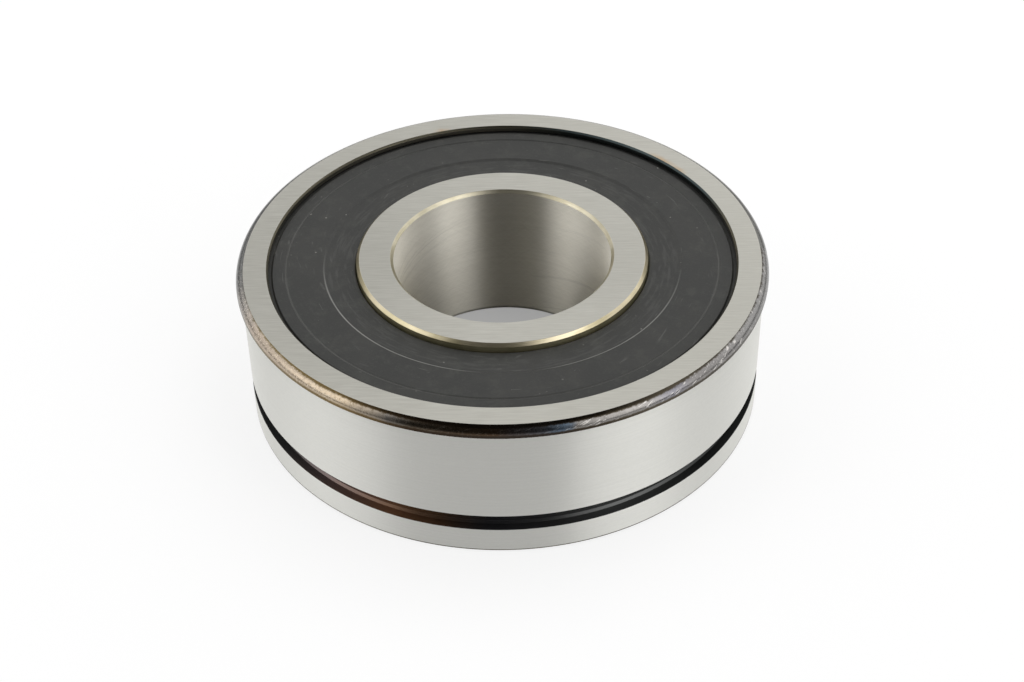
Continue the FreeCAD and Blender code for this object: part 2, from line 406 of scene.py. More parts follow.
def inner_ring_section():
    face_edge = depth(LAND_RADIUS - INNER_EDGE_CHAMFER, 0)
    land_edge = depth(LAND_RADIUS, INNER_EDGE_CHAMFER)
    bore_edge = depth(BORE_RADIUS, BORE_CHAMFER)
    bore_face = depth(BORE_RADIUS + BORE_CHAMFER, 0)
    race_edge = race_half_width(INNER_RACE_BOTTOM, INNER_SHOULDER_RADIUS)
    land = [
        land_edge,
        depth(LAND_RADIUS, LAND_DEPTH),
        depth(INNER_SHOULDER_RADIUS, LAND_DEPTH + LAND_RUN),
        (INNER_SHOULDER_RADIUS, MIDDLE + race_edge),
    ]
    upper = [
        ("bore_edge", [bore_edge, bore_face]),
        ("inner_face", [bore_face, face_edge]),
        ("straw_chamfer", [face_edge, land_edge]),
        ("temper_land", land),
    ]
    lower = mirrored(upper)
    race = ("raceway", race_arc(INNER_RACE_BOTTOM, INNER_SHOULDER_RADIUS))
    return upper + [race] + lower + [("bore_wall", [lower[-1][1][-1], bore_edge])]


def upper_seal_section():
    lip_foot = SEAL_DISH_DEPTH + SEAL_LIP_HEIGHT
    points = [
        depth(SEAL_BEAD_RADIUS, SEAL_BEAD_TOP),
        depth(SEAL_TROUGH_RADIUS, SEAL_BEAD_TOP),
        depth(SEAL_TROUGH_RADIUS - SEAL_TROUGH_SLOPE, SEAL_RECESS),
        depth(SEAL_LINE_RADIUS + SEAL_LINE_HALF, SEAL_RECESS),
        depth(SEAL_LINE_RADIUS, SEAL_RECESS + SEAL_LINE_DEPTH),
        depth(SEAL_LINE_RADIUS - SEAL_LINE_HALF, SEAL_RECESS),
        depth(SEAL_STEP_RADIUS + SEAL_STEP_SLOPE, SEAL_RECESS),
        depth(SEAL_STEP_RADIUS, SEAL_RECESS + SEAL_STEP_DROP),
        depth(SEAL_DISH_RADIUS, SEAL_DISH_DEPTH),
        depth(SEAL_LIP_FLAT, SEAL_DISH_DEPTH),
        depth(SEAL_LIP_RADIUS + SEAL_LIP_NOSE, SEAL_DISH_DEPTH - SEAL_LIP_BEAD),
        depth(SEAL_LIP_RADIUS, SEAL_DISH_DEPTH + SEAL_LIP_NOSE),
        depth(SEAL_LIP_RADIUS, lip_foot),
        depth(SEAL_LIP_ROOT, SEAL_BACK),
        depth(SEAL_TROUGH_RADIUS, SEAL_BACK),
        depth(SEAL_TROUGH_RADIUS, SEAL_BEAD_FOOT),
        depth(SEAL_BEAD_RADIUS, SEAL_BEAD_FOOT),
        depth(SEAL_BEAD_RADIUS, SEAL_BEAD_TOP),
    ]
    return [("seal_rubber", points)]


def lower_seal_section():
    return mirrored(upper_seal_section())


# From a section to a turned piece

def section_corners(sides):
    """Corners in order, each with the finish of the stretch after it."""
    return [(Vector(point), finish) for finish, points in sides for point in points[:-1]]


def rounded_corner(before, corner, after, edge_round):
    """Points of one rounded corner, each with the finish of the edge that follows it."""
    (start_point, old_finish), (point, finish), (end_point, _) = before, corner, after
    into, out = point - start_point, end_point - point
    turn = into.angle(out)
    if turn < ROUND_ABOVE_TURN:
        return [(point, finish)]
    cut = min(edge_round * math.tan(turn / 2), CORNER_SHARE * min(into.length, out.length))
    back, ahead = -into.normalized() * cut, out.normalized() * cut
    chord_middle = point + (back + ahead) / 2
    bend = math.cos(turn / 2) / (1 + math.cos(turn / 2))
    made = [(point + back, old_finish), (chord_middle.lerp(point, bend), finish), (point + ahead, finish)]
    if into.length > FLAT_KEEPER * cut:
        made.insert(0, (point + back * 2, old_finish))
    if out.length > FLAT_KEEPER * cut:
        made.append((point + ahead * 2, finish))
    return made


def rounded_section(sides, edge_round):
    corners = section_corners(sides)
    count = len(corners)
    return [made for i in range(count)
            for made in rounded_corner(corners[i - 1], corners[i], corners[(i + 1) % count], edge_round)]


def finish_chains(corners):
    """Splits the closed section into chains of one finish, each ending where the next one starts."""
    starts = [i for i in range(len(corners)) if corners[i][1] != corners[i - 1][1]] or [0]
    chains = []
    for start, end in zip(starts, starts[1:] + [starts[0] + len(corners)]):
        run = [corners[i % len(corners)][0] for i in range(start, end + 1)]
        chains.append((corners[start][1], run))
    return chains


def section_object(name, sides, edge_round, finishes, wear):
    """Flat mesh of a section: one chain of edges for each finish, with its number and its wear."""
    verts, edges, numbers, worn = [], [], [], []
    for finish, run in finish_chains(rounded_section(sides, edge_round)):
        first = len(verts)
        verts += [((p.x - SPIN_CIRCLE) * MM, -p.y * MM, 0.0) for p in run]
        edges += [(first + i, first + i + 1) for i in range(len(run) - 1)]
        numbers += [finishes.index(finish)] * len(run)
        worn += [wear.get(finish, 0.0)] * len(run)
    mesh = bpy.data.meshes.new(name)
    mesh.from_pydata(verts, edges, [])
    mesh.attributes.new("side_finish", "INT", "POINT").data.foreach_set("value", numbers)
    mesh.attributes.new("wear", "FLOAT", "POINT").data.foreach_set("value", worn)
    made = bpy.data.objects.new(name, mesh)
    bpy.context.scene.collection.objects.link(made)
    return made


def dented(graph, mesh, inputs):
    """Pushes small round dents into the worn stretches, along the surface's normal."""
    position = graph.node("GeometryNodeInputPosition").outputs["Position"]
    cells = graph.cells(position, inputs["Dent Spacing"], inputs["Dent Seed"])
    chance = graph.node("FunctionNodeSeparateColor", {"Color": cells["Color"]}).outputs
    reach = graph.math("DIVIDE", inputs["Dent Size"], inputs["Dent Spacing"])
    reach = graph.times(reach, graph.plus(chance["Green"], DENT_LEAST_SIZE))
    hollow = graph.math("SUBTRACT", 1.0, graph.math("DIVIDE", cells["Distance"], reach), clamp=True)
    chosen = graph.math("LESS_THAN", chance["Red"], inputs["Dent Share"])
    level = graph.times(graph.times(hollow, chosen), graph.attribute("wear", "FLOAT"))
    level = graph.times(level, inputs["Dent Depth"])
    normal = graph.node("GeometryNodeInputNormal").outputs["Normal"]
    inward = graph.scaled(normal, graph.times(level, -1.0))
    return graph.node("GeometryNodeSetPosition", {"Geometry": mesh, "Offset": inward}).outputs["Geometry"]


def shaded(graph, mesh, sharp_angle):
    """Smooth all over, with edges kept sharp where the surface turns by more than an angle."""
    smooth = graph.node("GeometryNodeSetShadeSmooth", {"Geometry": mesh, "Shade Smooth": True}, domain="FACE")
    turn = graph.node("GeometryNodeInputMeshEdgeAngle").outputs["Unsigned Angle"]
    sharp = graph.node("GeometryNodeSetShadeSmooth", {
        "Geometry": smooth.outputs["Geometry"], "Selection": graph.math("GREATER_THAN", turn, sharp_angle),
        "Shade Smooth": False}, domain="EDGE")
    return sharp.outputs["Geometry"]


def swept(graph, inputs):
    """The section swept round the axis, with each face's finish number, and its chains welded."""
    profile = graph.node("GeometryNodeMeshToCurve", {"Mesh": inputs["Section"]})
    circle = graph.node("GeometryNodeCurvePrimitiveCircle", {
        "Resolution": inputs["Segments"], "Radius": inputs["Spin Circle"]}, mode="RADIUS")
    upright = graph.node("GeometryNodeSetCurveNormal", {"Curve": circle.outputs["Curve"]})
    upright.mode = "Z_UP"
    inward = graph.node("GeometryNodeCurveToMesh", {
        "Curve": upright.outputs["Curve"], "Profile Curve": profile.outputs["Curve"]})
    ring = graph.node("GeometryNodeFlipFaces", {"Mesh": inward.outputs["Mesh"]})
    kept = graph.node("GeometryNodeStoreNamedAttribute", {
        "Geometry": ring.outputs["Mesh"], "Name": "finish"}, data_type="INT", domain="FACE")
    value = next(s for s in kept.inputs if s.name == "Value" and s.enabled)
    graph.feed(value, graph.attribute("side_finish", "INT"))
    welded = graph.node("GeometryNodeMergeByDistance", {
        "Geometry": kept.outputs["Geometry"], "Distance": inputs["Weld Distance"]})
    return welded.outputs["Geometry"]


def turned_ring_tree(finishes):
    """Geometry nodes that turn a section into a ring and give each stretch its own finish."""
    tree = bpy.data.node_groups.new("turned_ring", "GeometryNodeTree")
    tree.interface.new_socket("Section", in_out="INPUT", socket_type="NodeSocketGeometry")
    tree.interface.new_socket("Segments", in_out="INPUT", socket_type="NodeSocketInt")
    for name in ("Spin Circle", "Weld Distance", "Sharp Angle", *RIM_DENTS):
        tree.interface.new_socket(name, in_out="INPUT", socket_type="NodeSocketFloat")
    for finish in finishes:
        tree.interface.new_socket(finish, in_out="INPUT", socket_type="NodeSocketMaterial")
    tree.interface.new_socket("Piece", in_out="OUTPUT", socket_type="NodeSocketGeometry")
    graph = Graph(tree)
    inputs = graph.node("NodeGroupInput").outputs
    mesh = swept(graph, inputs)
    mesh = dented(graph, mesh, inputs)
    mesh = shaded(graph, mesh, inputs["Sharp Angle"])
    mesh = graph.node("GeometryNodeRealizeInstances", {"Geometry": mesh}).outputs["Geometry"]
    face_finish = graph.attribute("finish", "INT")
    for index, finish in enumerate(finishes):
        chosen = graph.math("COMPARE", face_finish, float(index), 0.5)
        painted = graph.node("GeometryNodeSetMaterial", {
            "Geometry": mesh, "Selection": chosen, "Material": inputs[finish]})
        mesh = painted.outputs["Geometry"]
    output = graph.node("NodeGroupOutput")
    graph.feed(output.inputs["Piece"], mesh)
    return tree


def plain_mesh(name, source):
    """Finished mesh of an object with its modifiers, as a new object with outward faces."""
    evaluated = source.evaluated_get(bpy.context.evaluated_depsgraph_get())
    mesh = bpy.data.meshes.new_from_object(evaluated)
    mesh.name = name
    for attribute in ("side_finish", "finish", "wear"):
        if attribute in mesh.attributes:
            mesh.attributes.remove(mesh.attributes[attribute])
    work = bmesh.new()
    work.from_mesh(mesh)
    bmesh.ops.recalc_face_normals(work, faces=work.faces)
    if work.calc_volume(signed=True) < 0:
        bmesh.ops.reverse_faces(work, faces=work.faces)
    work.to_mesh(mesh)
    work.free()
    made = bpy.data.objects.new(name, mesh)
    bpy.context.scene.collection.objects.link(made)
    return made


def turned_piece(name, sides, edge_round, finishes, wear=None, dents=NO_DENTS):
    """Ring turned from a section; finishes maps each stretch's finish to its material."""
    names = list(finishes)
    source = section_object(name + "_section", sides, edge_round, names, wear or {})
    tree = turned_ring_tree(names)
    modifier = source.modifiers.new("turned_ring", "NODES")
    modifier.node_group = tree
    values = {"Segments": RING_SEGMENTS, "Spin Circle": SPIN_CIRCLE * MM, "Weld Distance": WELD_DISTANCE * MM,
              "Sharp Angle": SHARP_ANGLE, **dents, **finishes}
    for socket in tree.interface.items_tree:
        if socket.in_out == "INPUT" and socket.name in values:
            modifier[socket.identifier] = values[socket.name]
    bpy.context.view_layer.update()
    piece = plain_mesh(name, source)
    bpy.data.objects.remove(source)
    return piece


# Node groups that more than one finish uses

LAY_RADIUS = 20.0               # radius at which the marks along a circle have their stated number
STREAK_GRAIN = {"scale": 1.0, "detail": 2.0, "roughness": 0.6}
EDGE_BAND_GRAIN = {"detail": 4.0, "roughness": 0.65}
SPECK_SOLID_SHARE = 0.5         # the part of a speck's radius that is solid


def new_group(name, inputs, outputs):
    """Empty shader group with named sockets; inputs maps each name to the value it starts with."""
    tree = bpy.data.node_groups.new(name, "ShaderNodeTree")
    for socket_name, value in inputs.items():
        socket = tree.interface.new_socket(socket_name, in_out="INPUT", socket_type="NodeSocketFloat")
        socket.default_value = value
    for socket_name, kind in outputs.items():
        tree.interface.new_socket(socket_name, in_out="OUTPUT", socket_type=kind)
    graph = Graph(tree)
    return tree, graph, graph.node("NodeGroupInput").outputs, graph.node("NodeGroupOutput").inputs


def turned_place_group():
    """Place on a turned piece: angle in radians, radius and height in millimetres, and the point itself."""
    tree, graph, _, out = new_group("turned_place", {}, {
        "Angle": "NodeSocketFloat", "Radius": "NodeSocketFloat", "Height": "NodeSocketFloat",
        "Point": "NodeSocketVector"})
    point = graph.point_mm()
    parts = graph.node("ShaderNodeSeparateXYZ", {"Vector": point}).outputs
    graph.feed(out["Angle"], graph.math("ARCTAN2", parts["Y"], parts["X"]))
    squares = graph.plus(graph.math("POWER", parts["X"], 2.0), graph.math("POWER", parts["Y"], 2.0))
    graph.feed(out["Radius"], graph.math("SQRT", squares))
    graph.feed(out["Height"], parts["Z"])
    graph.feed(out["Point"], point)
    return tree


def streaks_group():
    """Grinding or honing marks: fine one way, long the other, at a slant; a value from 0 to 1."""
    tree, graph, given, out = new_group("grinding_streaks", {
        "Angle": 0.0, "Across": 0.0, "Marks Around": 1.0, "Marks Across": 1.0, "Slant": 0.0,
        "Lay Radius": LAY_RADIUS, "Seed": 0.0}, {"Streak": "NodeSocketFloat"})
    slanted = graph.plus(given["Angle"], graph.times(given["Across"], given["Slant"]))
    around = graph.times(given["Marks Around"], given["Lay Radius"])
    vector = graph.join_xyz(
        graph.times(graph.math("COSINE", slanted), around),
        graph.times(graph.math("SINE", slanted), around),
        graph.plus(graph.times(given["Across"], given["Marks Across"]), given["Seed"]))
    graph.feed(out["Streak"], graph.noise(vector, **STREAK_GRAIN))
    return tree


def edge_wear_group():
    """Mask along an edge, for stains and painted highlights: 1 at the edge, broken up along it, 0 beyond the
    width.
    """
    tree, graph, given, out = new_group("edge_stain_and_highlight", {
        "Distance": 0.0, "Width": 1.0, "Break Up": 0.0, "Grain": 1.0}, {"Mask": "NodeSocketFloat"})
    grain = graph.noise(graph.point_mm(), given["Grain"], **EDGE_BAND_GRAIN)
    ragged = graph.plus(1.0, graph.times(graph.centred(grain, 2.0), given["Break Up"]))
    reach = graph.times(given["Width"], ragged)
    graph.feed(out["Mask"], graph.span(graph.math("ABSOLUTE", given["Distance"]), 0.0, reach, 1.0, 0.0))
    return tree


def specks_group():
    """Small scattered specks; a mask from 0 to 1 on a share of the cells of a random lattice."""
    tree, graph, given, out = new_group("specks", {
        "Spacing": 1.0, "Size": 0.0, "Share": 0.0, "Seed": 0.0}, {"Mask": "NodeSocketFloat"})
    cells = graph.cells(graph.point_mm(), given["Spacing"], given["Seed"])
    chance = graph.node("ShaderNodeSeparateColor", {"Color": cells["Color"]}).outputs
    reach = graph.math("DIVIDE", graph.times(given["Size"], chance["Green"]), given["Spacing"])
    spot = graph.span(cells["Distance"], graph.times(reach, SPECK_SOLID_SHARE), reach, 1.0, 0.0)
    chosen = graph.math("LESS_THAN", chance["Red"], given["Share"])
    graph.feed(out["Mask"], graph.times(spot, chosen))
    return tree


GROUPS = {
    "place": turned_place_group(),
    "streaks": streaks_group(),
    "edge_stain_and_highlight": edge_wear_group(),
    "specks": specks_group(),
}


class Finish(Graph):
    """One material: its place coordinates, shared groups and a Principled shader."""

    def __init__(self, name):
        self.material = bpy.data.materials.new(name)
        self.material.use_nodes = True
        super().__init__(self.material.node_tree)
        self.tree.nodes.clear()
        self.shader = self.node("ShaderNodeBsdfPrincipled")
        output = self.node("ShaderNodeOutputMaterial", {"Surface": self.shader.outputs["BSDF"]})
        output.is_active_output = True
        place = self.group("place")
        self.angle, self.radius = place["Angle"], place["Radius"]
        self.height, self.point = place["Height"], place["Point"]

    def group(self, name, **values):
        made = self.node("ShaderNodeGroup", node_tree=GROUPS[name])
        for key, value in values.items():
            self.feed(made.inputs[key.replace("_", " ")], value)
        return made.outputs

    def streaks(self, across, around_marks, across_marks, slant=0.0, lay_radius=LAY_RADIUS, seed=0.0):
        return self.group("streaks", Angle=self.angle, Across=across, Marks_Around=around_marks,
                          Marks_Across=across_marks, Slant=slant, Lay_Radius=lay_radius, Seed=seed)["Streak"]

    def lay(self, along_marks, across_marks, lean, seed=0.0):
        """Straight grinding marks that run along X and lean a little; a value from 0 to 1."""
        parts = self.node("ShaderNodeSeparateXYZ", {"Vector": self.point}).outputs
        across = self.plus(parts["Y"], self.times(parts["X"], lean))
        vector = self.join_xyz(self.times(parts["X"], along_marks), self.times(across, across_marks), seed)
        return self.noise(vector, **STREAK_GRAIN)

    def specks(self, spacing, size, share, seed):
        return self.group("specks", Spacing=spacing, Size=size, Share=share, Seed=seed)["Mask"]

    def edge_stain_and_highlight(self, edge_radius, width, break_up, grain):
        """Mask along a circular edge, by the distance from its radius, for stains and painted highlights."""
        return self.group("edge_stain_and_highlight", Distance=self.minus(self.radius, edge_radius), Width=width,
                          Break_Up=break_up, Grain=grain)["Mask"]

    def around(self):
        """The angle as a share of a turn, from 0 at +X."""
        return self.math("FRACT", self.math("DIVIDE", self.angle, TURN))

    def wandering_turn(self, scale, detail, sway):
        """The share of a turn, with a little sway, so that colours change along ragged borders."""
        drift = self.noise(self.point, scale, detail)
        return self.plus(self.around(), self.centred(drift, sway))

    def tint(self, colour, paint, mask, strength=1.0):
        """A paint laid over a colour where a mask is."""
        share = mask if strength == 1.0 else self.times(mask, strength)
        return self.blend(share, colour, paint)

    def set(self, **values):
        for key, value in values.items():
            self.feed(self.shader.inputs[key.replace("_", " ")], value)

    def metal(self, colour, roughness):
        self.set(Base_Color=colour, Metallic=1.0, Roughness=roughness)

    def bump(self, height, distance):
        made = self.node("ShaderNodeBump", {"Height": height, "Strength": 1.0, "Distance": distance * MM})
        self.set(Normal=made.outputs["Normal"])

    def brushed(self, anisotropy, turn):
        """Satin reflection, drawn out around the axis or along it by its turn."""
        tangent = self.node("ShaderNodeTangent", direction_type="RADIAL", axis="Z")
        self.set(Anisotropic=anisotropy, Anisotropic_Rotation=turn, Tangent=tangent.outputs["Tangent"])


# What the finishes share. Colours are linear, and marks are counted per millimetre. A spread is the
# stretch of a pattern's values over which a tone changes, and a list of places gives how strong a mark
# is at some shares of a turn from +X.

EVEN_SPREAD = (0.30, 0.70)
NARROW_SPREAD = (0.35, 0.65)
AROUND_AXIS = 0.0               # turn of a satin reflection that draws it out around the axis
ALONG_AXIS = 0.25               # and along it


# Ground faces

STEEL = (0.66, 0.648, 0.585)
STEEL_DARK = (0.61, 0.598, 0.536)
STEEL_LIGHT = (0.72, 0.708, 0.645)
FACE_PIT = (0.30, 0.28, 0.24)
FACE_CLOUD_SPREAD = (0.4, 0.7)
FACE_SCRATCH_SPREAD = (0.72, 0.76)
FACE_ROUGHNESS = (0.32, 0.40)
FACE_SATIN = 0.35
FACE_BUMP = 0.0015
OUTER_FACE_MIDDLE = 28.3
OUTER_FACE_SLANT = 0.05         # slope of the scratches off the straight line out, in radians a millimetre
INNER_FACE_MIDDLE = 14.6
INNER_FACE_SLANT = 0.09
STRAW_STAIN = (0.66, 0.46, 0.26)
STAIN_PLACES = [
    (0.094, 0.0), (0.102, 0.7), (0.110, 0.3), (0.118, 0.9), (0.126, 0.5), (0.134, 0.0),
    (0.287, 0.0), (0.292, 0.8), (0.298, 0.0),
]


def face_scratches(f, middle_radius, slant):
    """Cloudy stretches and a few scratches that run outwards; a mask for each."""
    across = f.minus(f.radius, middle_radius)
    cloud = f.streaks(across, around_marks=0.8, across_marks=0.15, slant=slant,
                      lay_radius=middle_radius, seed=13.0)
    scratch = f.streaks(across, around_marks=2.2, across_marks=0.12, slant=slant * 3,
                        lay_radius=middle_radius, seed=31.0)
    return f.span(cloud, *FACE_CLOUD_SPREAD), f.span(scratch, *FACE_SCRATCH_SPREAD)


def straw_stains(f, edge_radius):
    """Stains of temper colour on the upper face, in a few places along its inner edge."""
    edge = f.edge_stain_and_highlight(edge_radius, width=0.8, break_up=0.9, grain=0.7)
    stain = f.times(edge, f.ramp(f.around(), STAIN_PLACES))
    return f.times(stain, f.math("GREATER_THAN", f.height, MIDDLE))


def ground_face_material(name, middle_radius, slant, stained_edge=None):
    """Face ground flat: fine straight marks along X that cross at a small angle, and a few scratches."""
    f = Finish(name)
    fine = f.lay(along_marks=0.25, across_marks=6.0, lean=0.05)
    crossed = f.lay(along_marks=0.35, across_marks=4.0, lean=-0.06, seed=7.0)
    marks = f.mixed(fine, crossed, share=0.7)
    cloud, scratch = face_scratches(f, middle_radius, slant)
    colour = f.blend(f.span(marks, *EVEN_SPREAD), STEEL_DARK, STEEL_LIGHT)
    colour = f.tint(colour, STEEL, cloud, strength=0.35)
    colour = f.tint(colour, STEEL_LIGHT, scratch, strength=0.4)
    colour = f.tint(colour, FACE_PIT, f.specks(spacing=2.4, size=0.16, share=0.16, seed=3.0), strength=0.5)
    if stained_edge:
        colour = f.tint(colour, STRAW_STAIN, straw_stains(f, stained_edge))
    f.metal(colour, f.span(marks, *EVEN_SPREAD, *FACE_ROUGHNESS))
    f.brushed(FACE_SATIN, AROUND_AXIS)
    f.bump(marks, FACE_BUMP)
    return f.material


# Ground seat

SEAT_DARK = (0.70, 0.698, 0.66)
SEAT_LIGHT = (0.74, 0.738, 0.70)
SEAT_SPECK = (0.22, 0.17, 0.11)
SEAT_LAY_RADIUS = 30.0
SEAT_ROUGHNESS = (0.38, 0.42)
SEAT_SATIN = 1.0
SEAT_BUMP = 0.001


def ground_seat_material():
    """Seat ground round and round: very fine level lines and a few specks."""
    f = Finish("ground_seat")
    fine = f.streaks(f.height, around_marks=0.05, across_marks=9.0, lay_radius=SEAT_LAY_RADIUS)
    grain = f.streaks(f.height, around_marks=2.4, across_marks=5.0, lay_radius=SEAT_LAY_RADIUS, seed=5.0)
    marks = f.mixed(fine, grain, share=0.6)
    colour = f.blend(f.span(marks, *NARROW_SPREAD), SEAT_DARK, SEAT_LIGHT)
    specks = f.specks(spacing=2.8, size=0.26, share=0.16, seed=11.0)
    colour = f.tint(colour, SEAT_SPECK, specks, strength=0.75)
    f.metal(colour, f.span(marks, *EVEN_SPREAD, *SEAT_ROUGHNESS))
    f.brushed(SEAT_SATIN, ALONG_AXIS)
    f.bump(marks, SEAT_BUMP)
    return f.material


# Unground rim

# Rim tones by the share of a turn from +X: heat scale, and partly painted reflection, dark near the front and
# light tan on the front left.
RIM_RUBBED_AND_REFLECTION_COLOURS = [
    (0.00, (0.15, 0.15, 0.14)), (0.06, (0.16, 0.155, 0.145)), (0.11, (0.42, 0.41, 0.38)),
    (0.36, (0.40, 0.39, 0.36)), (0.45, (0.09, 0.09, 0.088)), (0.52, (0.13, 0.13, 0.128)),
    (0.55, (0.32, 0.295, 0.27)), (0.57, (0.48, 0.40, 0.33)), (0.655, (0.48, 0.39, 0.28)),
    (0.68, (0.17, 0.155, 0.14)), (0.70, (0.07, 0.056, 0.04)), (0.745, (0.08, 0.05, 0.03)),
    (0.765, (0.075, 0.075, 0.085)), (0.784, (0.12, 0.17, 0.23)), (0.788, (0.25, 0.235, 0.22)),
    (0.83, (0.27, 0.257, 0.245)), (0.848, (0.225, 0.22, 0.247)), (0.865, (0.27, 0.257, 0.25)),
    (0.92, (0.24, 0.235, 0.23)),
]
RIM_SCALE_AND_REFLECTION_COLOURS = [
    (0.00, (0.14, 0.14, 0.13)), (0.06, (0.16, 0.155, 0.145)), (0.11, (0.38, 0.37, 0.34)),
    (0.36, (0.36, 0.35, 0.32)), (0.45, (0.07, 0.07, 0.068)), (0.53, (0.09, 0.088, 0.08)),
    (0.58, (0.165, 0.13, 0.065)), (0.655, (0.16, 0.11, 0.045)), (0.68, (0.06, 0.04, 0.02)),
    (0.70, (0.032, 0.021, 0.013)), (0.77, (0.03, 0.024, 0.02)), (0.80, (0.04, 0.031, 0.02)),
    (0.84, (0.085, 0.072, 0.052)), (0.88, (0.06, 0.052, 0.04)),
]
RIM_SHINE_COLOURS = [(0.50, (0.80, 0.77, 0.72)), (0.60, (0.76, 0.66, 0.50)), (0.80, (0.82, 0.79, 0.75))]
RIM_MOTTLED_PLACES = [(0.66, 1.0), (0.785, 1.0), (0.79, 0.35), (0.93, 0.35), (0.97, 1.0)]
RIM_BLASTED_PLACES = [
    (0.50, 0.1), (0.55, 0.8), (0.64, 0.8), (0.67, 0.1), (0.78, 0.05), (0.86, 0.1), (0.90, 0.3), (0.95, 0.2),
]
RIM_SCRATCH_PLACES = [
    (0.52, 0.1), (0.56, 0.4), (0.66, 0.1), (0.78, 0.1), (0.79, 0.9), (0.93, 0.9), (1.0, 0.2),
]
RIM_TOP_BASE = WIDTH - 1.0      # height that the next list counts from
RIM_TOP_STARTS = [(0.40, 0.98), (0.56, 0.90), (0.66, 0.80), (0.72, 0.72), (0.82, 0.70), (0.90, 0.90)]
RIM_TOP_FADE = 0.12             # height over which the scale at the face's edge fades in
RIM_RUBBED = (WIDTH - 0.95, WIDTH - 0.72)      # heights at which the lower scale gives way to rubbed metal
RIM_RAGGED = 0.3                # height by which those borders wander
RIM_MOTTLE_SPREAD = (0.50, 0.72)
RIM_MOTTLE_STRENGTH = 0.6
RIM_SPARKLE_SPREAD = (0.55, 0.62)
RIM_SCRATCH_SPREAD = (0.60, 0.66)
RIM_SCRATCH_TILT = -9.0         # height by which a scratch would climb in one radian
RIM_ROUGHNESS = (0.18, 0.30)
RIM_BRIGHT_ROUGHER = 0.2
RIM_BRIGHT_RAISED = 0.4
RIM_LEAST_GRAIN = 0.1
RIM_BUMP = 0.012


def rim_colour(f, turn, mottle, rubbed, top):
    """Scale low down and at the face's edge, rubbed metal between them, and mottling; the tones round the
    ring are partly painted reflection, dark near the front and light tan on the front left.
    """
    scale = f.ramp(turn, RIM_SCALE_AND_REFLECTION_COLOURS)
    colour = f.blend(rubbed, scale, f.ramp(turn, RIM_RUBBED_AND_REFLECTION_COLOURS))
    colour = f.blend(top, colour, scale)
    mottled = f.times(f.span(mottle, *RIM_MOTTLE_SPREAD), f.ramp(turn, RIM_MOTTLED_PLACES))
    return f.tint(colour, scale, mottled, strength=RIM_MOTTLE_STRENGTH)


def rim_bright_marks(f, turn, peened, blasted, open_metal):
    """Tilted scratches and sparkle on the open metal, and a few bright specks anywhere."""
    sparkle = f.times(f.span(peened, *RIM_SPARKLE_SPREAD), blasted)
    tilted = f.plus(f.height, f.times(f.angle, RIM_SCRATCH_TILT))
    along = f.streaks(tilted, around_marks=0.7, across_marks=4.5, lay_radius=SEAT_LAY_RADIUS, seed=2.0)
    scratch = f.times(f.span(along, *RIM_SCRATCH_SPREAD), f.ramp(turn, RIM_SCRATCH_PLACES))
    bright = f.times(f.larger(scratch, sparkle), open_metal)
    return f.larger(bright, f.specks(spacing=1.1, size=0.22, share=0.07, seed=9.0))


def rim_scale_material():
    """Heat scale, in stretches round the ring: rubbed tan, brown, a blue patch and grey, with dark edges; the
    dark front stretch and the light tan one are partly painted reflection.
    """
    f = Finish("rim_scale_and_reflection")
    turn = f.wandering_turn(scale=0.35, detail=3.0, sway=0.02)
    mottle = f.noise(f.point, scale=2.2, detail=5.0, roughness=0.7)
    peened = f.noise(f.point, scale=5.0, detail=3.0, roughness=0.7)
    blasted = f.ramp(turn, RIM_BLASTED_PLACES)
    shoulder = f.plus(f.height, f.centred(mottle, RIM_RAGGED))
    rubbed = f.span(shoulder, *RIM_RUBBED)
    top_start = f.plus(RIM_TOP_BASE, f.ramp(turn, RIM_TOP_STARTS))
    top = f.span(shoulder, top_start, f.plus(top_start, RIM_TOP_FADE))
    bright = rim_bright_marks(f, turn, peened, blasted, f.times(rubbed, f.minus(1.0, top)))
    colour = rim_colour(f, turn, mottle, rubbed, top)
    colour = f.tint(colour, f.ramp(turn, RIM_SHINE_COLOURS), bright, strength=0.8)
    rough = f.span(mottle, *EVEN_SPREAD, *RIM_ROUGHNESS)
    f.metal(colour, f.plus(rough, f.times(bright, RIM_BRIGHT_ROUGHER)))
    grain = f.times(peened, f.plus(blasted, RIM_LEAST_GRAIN))
    f.bump(f.plus(grain, f.times(bright, RIM_BRIGHT_RAISED)), RIM_BUMP)
    return f.material


# Snap-ring groove

# Black scale round the groove, with a painted brown reflection and a painted grey highlight in two stretches.
GROOVE_SCALE_AND_REFLECTION_COLOURS = [
    (0.00, (0.03, 0.032, 0.032)), (0.58, (0.05, 0.052, 0.052)), (0.63, (0.16, 0.12, 0.115)),
    (0.68, (0.22, 0.12, 0.065)), (0.71, (0.10, 0.055, 0.03)), (0.735, (0.03, 0.03, 0.033)),
    (0.78, (0.05, 0.05, 0.05)), (0.82, (0.09, 0.092, 0.09)), (0.88, (0.035, 0.037, 0.036)),
]
GROOVE_FLECK = (0.25, 0.2, 0.13)
GROOVE_METALLIC = 0.5
GROOVE_ROUGHNESS = 0.22
GROOVE_BUMP = 0.006


def groove_scale_material():
    """Smooth black scale in the groove, with a painted reflection round it: brown along one stretch and a
    grey highlight along another.
    """
    f = Finish("groove_scale_and_reflection")
    colour = f.ramp(f.wandering_turn(scale=0.2, detail=2.0, sway=0.03), GROOVE_SCALE_AND_REFLECTION_COLOURS)
    fleck = f.specks(spacing=2.2, size=0.2, share=0.12, seed=4.0)
    colour = f.tint(colour, GROOVE_FLECK, fleck, strength=0.5)
    f.set(Base_Color=colour, Metallic=GROOVE_METALLIC, Roughness=GROOVE_ROUGHNESS)
    f.bump(f.noise(f.point, scale=3.0), GROOVE_BUMP)
    return f.material
